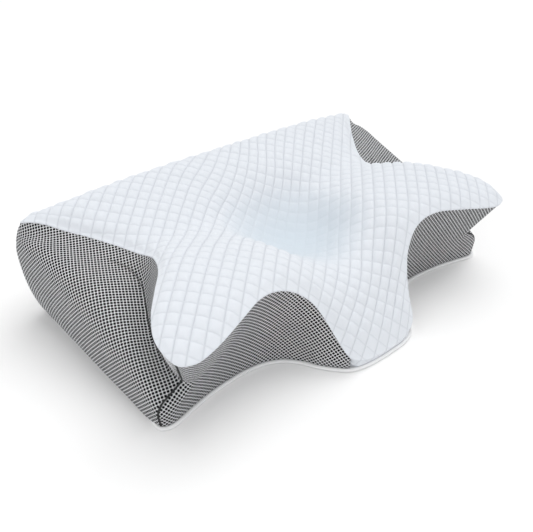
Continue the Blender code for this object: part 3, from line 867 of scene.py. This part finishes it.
def arithmetic(tree, operation, first, second=0.0, third=None, clamp=False):
    inputs = {"i0": first, "i1": second}
    if third is not None:
        inputs["i2"] = third
    node = linked(tree, "ShaderNodeMath", **inputs)
    node.operation = operation
    node.use_clamp = clamp
    return node.outputs[0]


def effect_group(name, inputs, outputs):
    """An empty node group with its sockets, and its input node's sockets."""
    group = bpy.data.node_groups.new(name, "ShaderNodeTree")
    for label, kind, default in inputs:
        socket = group.interface.new_socket(label, in_out="INPUT", socket_type=kind)
        if default is not None:
            socket.default_value = default
    for label, kind in outputs:
        group.interface.new_socket(label, in_out="OUTPUT", socket_type=kind)
    return group, group.nodes.new("NodeGroupInput"), group.nodes.new("NodeGroupOutput")


def knit_group():
    """Fine knitted loops, as a height and a faint unevenness of colour."""
    group, given, made = effect_group(
        "Fine Knit",
        [("Cloth", "NodeSocketVector", None), ("Loop Size", "NodeSocketFloat", 0.0011)],
        [("Height", "NodeSocketFloat"), ("Unevenness", "NodeSocketFloat")],
    )
    place = linked(group, "ShaderNodeSeparateXYZ", Vector=given.outputs["Cloth"])
    u = arithmetic(group, "DIVIDE", place.outputs["X"], given.outputs["Loop Size"])
    v = arithmetic(group, "DIVIDE", place.outputs["Y"], given.outputs["Loop Size"])
    lean = arithmetic(group, "MULTIPLY", arithmetic(group, "PINGPONG", u, 0.5), 0.9)
    wave = arithmetic(group, "SINE", arithmetic(group, "MULTIPLY", u, math.pi))
    rib = arithmetic(group, "ABSOLUTE", wave)
    turn = arithmetic(group, "MULTIPLY", arithmetic(group, "ADD", v, lean), math.tau)
    loop = arithmetic(group, "MULTIPLY_ADD", arithmetic(group, "SINE", turn), 0.5, 0.5)
    height = arithmetic(group, "MULTIPLY", rib, loop)
    patches = linked(group, "ShaderNodeTexNoise", Vector=given.outputs["Cloth"], Scale=38.0, Detail=3.0)
    group.links.new(height, made.inputs["Height"])
    group.links.new(patches.outputs[0], made.inputs["Unevenness"])
    return group


def quilting_group():
    """The sewn channels of diamond quilting: a mask that is 1 on the stitches, which gives their relief and their
    painted shade, and a mask of the head hollow, for its painted shade.
    """
    group, given, made = effect_group(
        "Quilting",
        [
            ("Cloth", "NodeSocketVector", None),
            ("Pitch", "NodeSocketFloat", 0.019),
            ("Channel Width", "NodeSocketFloat", CHANNEL_WIDTH),
            ("Faint Reach", "NodeSocketFloat", HOLLOW_REACH),
        ],
        [("Channel", "NodeSocketFloat"), ("Shade", "NodeSocketFloat"), ("Painted Hollow Shade", "NodeSocketFloat")],
    )
    place = linked(group, "ShaderNodeSeparateXYZ", Vector=given.outputs["Cloth"])
    wide = arithmetic(group, "MULTIPLY", given.outputs["Pitch"], math.sqrt(2))
    masks = []
    for operation in ("ADD", "SUBTRACT"):
        line = arithmetic(group, operation, place.outputs["X"], place.outputs["Y"])
        turn = arithmetic(group, "DIVIDE", line, wide)
        nearest = arithmetic(group, "PINGPONG", turn, 0.5)
        away = arithmetic(group, "MULTIPLY", nearest, given.outputs["Pitch"])
        near = arithmetic(group, "DIVIDE", away, given.outputs["Channel Width"])
        masks.append(arithmetic(group, "SUBTRACT", 1.0, near, clamp=True))
    masks[0] = arithmetic(group, "MULTIPLY", masks[0], FAINT_CHANNEL)
    channel = arithmetic(group, "MAXIMUM", *masks)
    across = arithmetic(group, "DIVIDE", place.outputs["X"], given.outputs["Faint Reach"])
    up = arithmetic(group, "DIVIDE", place.outputs["Y"], given.outputs["Faint Reach"])
    squares = [arithmetic(group, "MULTIPLY", way, way) for way in (across, up)]
    away = arithmetic(group, "ADD", *squares, clamp=True)
    channel = arithmetic(group, "MULTIPLY", channel, arithmetic(group, "MULTIPLY_ADD", away, 0.85, 0.15))
    soft = arithmetic(group, "POWER", channel, 1.5)
    group.links.new(soft, made.inputs["Channel"])
    group.links.new(channel, made.inputs["Shade"])
    # 1 in the middle of the head hollow, where painted shade is laid
    shaded = arithmetic(group, "SUBTRACT", 1.0, away)
    group.links.new(shaded, made.inputs["Painted Hollow Shade"])
    return group


def yarn_group():
    """Twisted yarn along both directions of a net, as a height and a shade."""
    group, given, made = effect_group(
        "Net Yarn",
        [("Cloth", "NodeSocketVector", None), ("Twist", "NodeSocketFloat", 0.0009)],
        [("Height", "NodeSocketFloat"), ("Shade", "NodeSocketFloat")],
    )
    place = linked(group, "ShaderNodeSeparateXYZ", Vector=given.outputs["Cloth"])
    heights = []
    for axis in ("X", "Y"):
        turn = arithmetic(group, "DIVIDE", place.outputs[axis], given.outputs["Twist"])
        heights.append(arithmetic(group, "SINE", arithmetic(group, "MULTIPLY", turn, math.tau)))
    twist = arithmetic(group, "MULTIPLY", *heights)
    fibres = linked(group, "ShaderNodeTexNoise", Vector=given.outputs["Cloth"], Scale=900.0, Detail=2.0)
    height = arithmetic(group, "MULTIPLY_ADD", twist, 0.35, fibres.outputs[0])
    patches = linked(group, "ShaderNodeTexNoise", Vector=given.outputs["Cloth"], Scale=60.0, Detail=2.0)
    group.links.new(height, made.inputs["Height"])
    group.links.new(patches.outputs[0], made.inputs["Shade"])
    return group


def new_material(name, roughness):
    material = bpy.data.materials.new(name)
    material.use_nodes = True
    tree = material.node_tree
    shader = tree.nodes["Principled BSDF"]
    shader.inputs["Roughness"].default_value = roughness
    shader.inputs["Specular IOR Level"].default_value = 0.25
    cloth = tree.nodes.new("ShaderNodeUVMap")
    cloth.uv_map = CLOTH_MAP
    return material, tree, shader, cloth.outputs["UV"]


def placed(tree, name, maker, **inputs):
    node = tree.nodes.new("ShaderNodeGroup")
    node.node_tree = bpy.data.node_groups.get(name) or maker()
    for label, value in inputs.items():
        feed(tree, value, node.inputs[label.replace("_", " ")])
    return node


def mixed(tree, share, first, second):
    node = tree.nodes.new("ShaderNodeMix")
    node.data_type = "RGBA"
    for socket, value in zip((node.inputs[0], node.inputs[6], node.inputs[7]), (share, first, second)):
        feed(tree, value, socket)
    return node.outputs[2]


def surfaced(tree, shader, colour, rough, height, strength, distance):
    """Gives a shader its colour, its roughness and the relief of its cloth."""
    bump = linked(tree, "ShaderNodeBump", Strength=strength, Distance=distance, Height=height)
    tree.links.new(colour, shader.inputs["Base Color"])
    tree.links.new(rough, shader.inputs["Roughness"])
    tree.links.new(bump.outputs[0], shader.inputs["Normal"])


def opaque(colour, share=1.0):
    return (*[c * share for c in colour], 1.0)


def quilted_material(look, size):
    """White knitted cloth with sewn channels; grey painted shade in the channels and in the knit's gaps, and a
    darker, cooler painted shade in the head hollow.
    """
    material, tree, shader, cloth = new_material("Quilted Knit", 0.85)
    shader.inputs["Sheen Weight"].default_value = 0.25
    shader.inputs["Sheen Roughness"].default_value = 0.5
    knit = placed(tree, "Fine Knit", knit_group, Cloth=cloth, Loop_Size=size.knit_loop)
    quilting = placed(
        tree, "Quilting", quilting_group,
        Cloth=cloth, Pitch=size.quilt_pitch, Channel_Width=CHANNEL_WIDTH, Faint_Reach=HOLLOW_REACH,
    )
    low = opaque(look.cover, 0.955)
    colour = mixed(tree, knit.outputs["Unevenness"], low, opaque(look.cover))
    # Greyer in the knit's gaps between its loops: painted shade
    loops = arithmetic(tree, "MULTIPLY_ADD", knit.outputs["Height"], -0.10, 0.10)
    colour = mixed(tree, loops, colour, opaque(look.stitch))
    # The head hollow is painted darker and bluer: painted shade
    smooth = arithmetic(tree, "MULTIPLY", quilting.outputs["Painted Hollow Shade"], 0.8)
    colour = mixed(tree, smooth, colour, opaque(look.hollow))
    # The sewn channels are painted grey as painted shade in their grooves
    channel_shade_share = arithmetic(tree, "MULTIPLY", quilting.outputs["Channel"], 0.6)
    colour = mixed(tree, channel_shade_share, colour, opaque(look.stitch))
    rough = arithmetic(tree, "MULTIPLY_ADD", quilting.outputs["Shade"], 0.08, 0.82)
    channels = arithmetic(tree, "MULTIPLY", quilting.outputs["Channel"], -1.4)
    height = arithmetic(tree, "MULTIPLY_ADD", knit.outputs["Height"], 0.35, channels)
    surfaced(tree, shader, colour, rough, height, 0.7, 0.0007)
    return material


def net_material(look):
    """Pale grey net yarn."""
    material, tree, shader, cloth = new_material("Net Yarn Cloth", 0.7)
    yarn = placed(tree, "Net Yarn", yarn_group, Cloth=cloth)
    colour = mixed(tree, yarn.outputs["Shade"], opaque(look.net, 0.80), opaque(look.net))
    rough = arithmetic(tree, "MULTIPLY_ADD", yarn.outputs["Shade"], 0.15, 0.62)
    surfaced(tree, shader, colour, rough, yarn.outputs["Height"], 0.4, 0.0003)
    return material


def backing_material(look):
    """Dark open cloth under the net."""
    material, tree, shader, cloth = new_material("Dark Backing", 0.9)
    knit = placed(tree, "Fine Knit", knit_group, Cloth=cloth, Loop_Size=0.0009)
    # Darker in the knit's gaps and lighter on its loops: painted shade
    colour = mixed(tree, knit.outputs["Height"], opaque(look.backing, 0.5), opaque(look.backing, 1.3))
    rough = arithmetic(tree, "MULTIPLY_ADD", knit.outputs["Unevenness"], 0.1, 0.84)
    surfaced(tree, shader, colour, rough, knit.outputs["Height"], 0.3, 0.0003)
    return material


def seam_and_crease_shadow_material(look):
    """The dark, tightly sewn join between two mesh panels, whose dark colour along the wings' foot crease is also
    painted shadow.
    """
    material, tree, shader, cloth = new_material("Mesh Seam and Crease Shadow", 0.8)
    yarn = placed(tree, "Net Yarn", yarn_group, Cloth=cloth, Twist=0.0016)
    # Near black: the joins' own dark colour, and along the wings' foot crease also painted shadow
    colour = mixed(tree, yarn.outputs["Shade"], opaque(look.backing, 1.5), opaque(look.net, 0.10))
    rough = arithmetic(tree, "MULTIPLY_ADD", yarn.outputs["Shade"], 0.1, 0.74)
    surfaced(tree, shader, colour, rough, yarn.outputs["Height"], 0.5, 0.0004)
    return material


def base_material(look):
    """Plain white cloth with a fine knit."""
    material, tree, shader, cloth = new_material("Plain White Cloth", 0.85)
    knit = placed(tree, "Fine Knit", knit_group, Cloth=cloth, Loop_Size=0.0012)
    colour = mixed(tree, knit.outputs["Unevenness"], opaque(look.base, 0.93), opaque(look.base))
    loops = arithmetic(tree, "MULTIPLY", knit.outputs["Height"], 0.06)
    colour = mixed(tree, loops, colour, opaque(look.stitch))
    rough = arithmetic(tree, "MULTIPLY_ADD", knit.outputs["Unevenness"], 0.1, 0.8)
    surfaced(tree, shader, colour, rough, knit.outputs["Height"], 0.35, 0.0003)
    return material


def floor_material(look):
    """A pale, smooth studio floor."""
    material, tree, shader, _ = new_material("Studio Floor", 0.9)
    place = tree.nodes.new("ShaderNodeTexCoord")
    noise = linked(tree, "ShaderNodeTexNoise", Vector=place.outputs["Object"], Scale=3.0, Detail=2.0)
    colour = mixed(tree, noise.outputs[0], opaque(look.floor, 0.99), opaque(look.floor))
    tree.links.new(colour, shader.inputs["Base Color"])
    return material


def finish(name, maker, *given):
    return bpy.data.materials.get(name) or maker(*given)


# What a user would change, and one operator for each piece


class PillowSizes(bpy.types.PropertyGroup):
    quilt_pitch: bpy.props.FloatProperty(
        name="Quilting Pitch", description="Width of a quilted cell", default=0.0155, unit="LENGTH"
    )
    quilt_rise: bpy.props.FloatProperty(
        name="Quilting Rise", description="How far a cell stands up", default=0.0030, unit="LENGTH"
    )
    hollow_rise: bpy.props.FloatProperty(
        name="Rise in the Hollow", description="How far a cell stands up in the head hollow",
        default=0.0005, unit="LENGTH",
    )
    knit_loop: bpy.props.FloatProperty(
        name="Knit Loop", description="Width of a loop of the cover's knit", default=0.0012, unit="LENGTH"
    )
    net_pitch: bpy.props.FloatProperty(
        name="Net Pitch", description="Distance between the holes of the net", default=0.0040, unit="LENGTH"
    )
    net_hole: bpy.props.FloatProperty(
        name="Net Hole", description="Width of a hole as a share of the pitch",
        default=0.80, min=0.3, max=0.85, subtype="FACTOR",
    )
    base_lip: bpy.props.FloatProperty(
        name="Base Lip", description="How far the base stands out under the front mesh",
        default=0.0044, unit="LENGTH",
    )


class PillowLooks(bpy.types.PropertyGroup):
    cover: bpy.props.FloatVectorProperty(
        name="Cover", description="Colour of the quilted cloth",
        default=(0.83, 0.865, 0.915), subtype="COLOR",
    )
    # Grey painted into the quilting's channels and the knit's gaps as painted shade, and onto the base's knit loops
    # as a tone
    stitch: bpy.props.FloatVectorProperty(
        name="Painted Shade and Knit Grey", description="Colour in the sewn channels",
        default=(0.60, 0.63, 0.68), subtype="COLOR",
    )
    # A darker, bluer colour mixed into the head hollow as painted shade
    hollow: bpy.props.FloatVectorProperty(
        name="Hollow", description="Colour of the smooth, stretched cloth in the head hollow",
        default=(0.63, 0.71, 0.775), subtype="COLOR",
    )
    net: bpy.props.FloatVectorProperty(
        name="Net", description="Colour of the net's yarn", default=(0.78, 0.79, 0.81), subtype="COLOR"
    )
    backing: bpy.props.FloatVectorProperty(
        name="Backing", description="Colour of the cloth under the net",
        default=(0.007, 0.007, 0.008), subtype="COLOR",
    )
    base: bpy.props.FloatVectorProperty(
        name="Base", description="Colour of the base", default=(0.95, 0.955, 0.965), subtype="COLOR"
    )
    floor: bpy.props.FloatVectorProperty(
        name="Floor", description="Colour of the floor", default=(0.97, 0.97, 0.97), subtype="COLOR"
    )


class PILLOW_OT_cushion(bpy.types.Operator):
    """Make the cushion with its quilted top"""

    bl_idname = "pillow.cushion"
    bl_label = "Quilted Cushion"

    def execute(self, context):
        size, look = context.scene.pillow_sizes, context.scene.pillow_looks
        vertices, faces, cloth = cushion_mesh(size)
        material = finish("Quilted Knit", quilted_material, look, size)
        piece = new_piece("quilted_cushion", vertices, faces, material, cloth)
        outward_faces(piece)
        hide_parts("filled_body")
        return {"FINISHED"}


def make_panel(context, node, first, last, mirrored, side):
    """A dark backing and the net over it, which stand for one mesh panel."""
    size, look = context.scene.pillow_sizes, context.scene.pillow_looks
    cloth = PanelCloth(first, last, mirrored)
    dark = finish("Dark Backing", backing_material, look)
    pale = finish("Net Yarn Cloth", net_material, look)
    vertices, faces, places = net_mesh(cloth, size.net_pitch, size.net_hole, side)
    net = new_piece(node + "_net", vertices, faces, pale, places)
    vertices, faces, places = backing_mesh(cloth, side)
    backing = new_piece(node + "_backing", vertices, faces, dark, places)
    outward_faces(backing)
    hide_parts(node)


class PILLOW_OT_side_mesh(bpy.types.Operator):
    """Make the mesh panels round both ends"""

    bl_idname = "pillow.side_mesh"
    bl_label = "Side Mesh"

    def execute(self, context):
        for node, side in (("mesh_side_right", 1), ("mesh_side_left", -1)):
            make_panel(context, node, BACK_SEAM, CORNER_SEAM, False, side)
        return {"FINISHED"}


class PILLOW_OT_front_mesh(bpy.types.Operator):
    """Make the mesh panels of the front recesses"""

    bl_idname = "pillow.front_mesh"
    bl_label = "Front Mesh"

    def execute(self, context):
        for node, side in (("mesh_front_right", 1), ("mesh_front_left", -1)):
            make_panel(context, node, CORNER_SEAM, NOSE_SEAM, False, side)
        return {"FINISHED"}


class PILLOW_OT_back_mesh(bpy.types.Operator):
    """Make the mesh panel along the back"""

    bl_idname = "pillow.back_mesh"
    bl_label = "Back Mesh"

    def execute(self, context):
        make_panel(context, "mesh_back", 0, BACK_SEAM, True, 1)
        return {"FINISHED"}


class PILLOW_OT_seams(bpy.types.Operator):
    """Make the sewn joins between the mesh panels, and the dark strip in the wings' foot crease, which is partly
    painted shadow
    """

    bl_idname = "pillow.seams"
    bl_label = "Mesh Seams"

    def execute(self, context):
        material = finish("Mesh Seam and Crease Shadow", seam_and_crease_shadow_material, context.scene.pillow_looks)
        strips = {
            "wing_seam": panel_seam(CORNER_SEAM, *JOIN_SIZE),
            "back_seam": panel_seam(BACK_SEAM, *JOIN_SIZE),
            # A dark strip along the wings' foot crease: partly a seam, partly painted shadow of the fold
            "wing_crease_seam_and_shadow": crease_seam_and_shadow(CREASE_FROM, CORNER_SEAM, *CREASE_SIZE),
        }
        for name, (vertices, faces, cloth) in strips.items():
            for label, side in (("right", 1), ("left", -1)):
                turned = faces if side > 0 else [face[::-1] for face in faces]
                piece = new_piece(f"{name}_{label}", vertices * (side, 1, 1), turned, material, cloth)
                outward_faces(piece)
        return {"FINISHED"}


class PILLOW_OT_base(bpy.types.Operator):
    """Make the white base with its rounded edge"""

    bl_idname = "pillow.base"
    bl_label = "Base Cloth"

    def execute(self, context):
        size, look = context.scene.pillow_sizes, context.scene.pillow_looks
        vertices, faces, cloth, flat, area = base_mesh(size)
        material = finish("Plain White Cloth", base_material, look)
        piece = new_piece("base_cloth", vertices, faces, material, cloth)
        outward_faces(piece)
        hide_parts("base_panel")
        return {"FINISHED"}


class PILLOW_OT_stage(bpy.types.Operator):
    """Make the floor, the lights and the camera"""

    bl_idname = "pillow.stage"
    bl_label = "Stage"

    def execute(self, context):
        scene = context.scene
        mesh = bpy.data.meshes.new("floor")
        corners = [(x * FLOOR_REACH, y * FLOOR_REACH, 0) for x, y in ((-1, -1), (1, -1), (1, 1), (-1, 1))]
        mesh.from_pydata(corners, [], [(0, 1, 2, 3)])
        mesh.materials.append(finish("Studio Floor", floor_material, scene.pillow_looks))
        floor = bpy.data.objects.new("floor", mesh)
        floor.location.z = -FLOOR_DROP
        scene.collection.objects.link(floor)
        key = bpy.data.lights.new("key", "SUN")
        key.energy = KEY_STRENGTH
        key.angle = math.radians(KEY_SOFTNESS)
        fill = bpy.data.lights.new("fill", "AREA")
        fill.energy = FILL_POWER
        fill.size = FILL_SIZE
        for lamp, place, aim in ((key, KEY_FROM, KEY_AIM), (fill, FILL_PLACE, FILL_AIM)):
            stand = bpy.data.objects.new(lamp.name, lamp)
            stand.location = place
            stand.rotation_euler = (Vector(aim) - Vector(place)).to_track_quat("-Z", "Y").to_euler()
            scene.collection.objects.link(stand)
        world = bpy.data.worlds.new("Studio")
        world.use_nodes = True
        sky = world.node_tree.nodes["Background"].inputs
        sky["Color"].default_value = (1.0, 1.0, 1.0, 1.0)
        sky["Strength"].default_value = WORLD_STRENGTH
        scene.world = world
        scene.view_settings.view_transform = "Standard"
        camera = bpy.data.objects.new("camera", bpy.data.cameras.new("camera"))
        camera.data.lens = CAMERA_LENS
        camera.location = CAMERA_PLACE
        camera.rotation_euler = [math.radians(turn) for turn in CAMERA_TURN]
        scene.collection.objects.link(camera)
        scene.camera = camera
        return {"FINISHED"}


class PILLOW_PT_panel(bpy.types.Panel):
    bl_label = "Pillow"
    bl_idname = "PILLOW_PT_panel"
    bl_space_type = "VIEW_3D"
    bl_region_type = "UI"
    bl_category = "Pillow"

    def draw(self, context):
        for group in (context.scene.pillow_sizes, context.scene.pillow_looks):
            for name in group.__annotations__:
                self.layout.prop(group, name)
        for operator in OPERATORS:
            self.layout.operator(operator.bl_idname)


OPERATORS = (
    PILLOW_OT_cushion,
    PILLOW_OT_side_mesh,
    PILLOW_OT_front_mesh,
    PILLOW_OT_back_mesh,
    PILLOW_OT_seams,
    PILLOW_OT_base,
    PILLOW_OT_stage,
)
CLASSES = (PillowSizes, PillowLooks, *OPERATORS, PILLOW_PT_panel)


def register():
    for made in CLASSES:
        bpy.utils.register_class(made)
    bpy.types.Scene.pillow_sizes = bpy.props.PointerProperty(type=PillowSizes)
    bpy.types.Scene.pillow_looks = bpy.props.PointerProperty(type=PillowLooks)


def unregister():
    del bpy.types.Scene.pillow_sizes
    del bpy.types.Scene.pillow_looks
    for made in reversed(CLASSES):
        bpy.utils.unregister_class(made)


def main():
    register()
    bpy.ops.pillow.cushion()
    bpy.ops.pillow.side_mesh()
    bpy.ops.pillow.front_mesh()
    bpy.ops.pillow.back_mesh()
    bpy.ops.pillow.seams()
    bpy.ops.pillow.base()
    bpy.ops.pillow.stage()


if __name__ == "__main__":
    main()
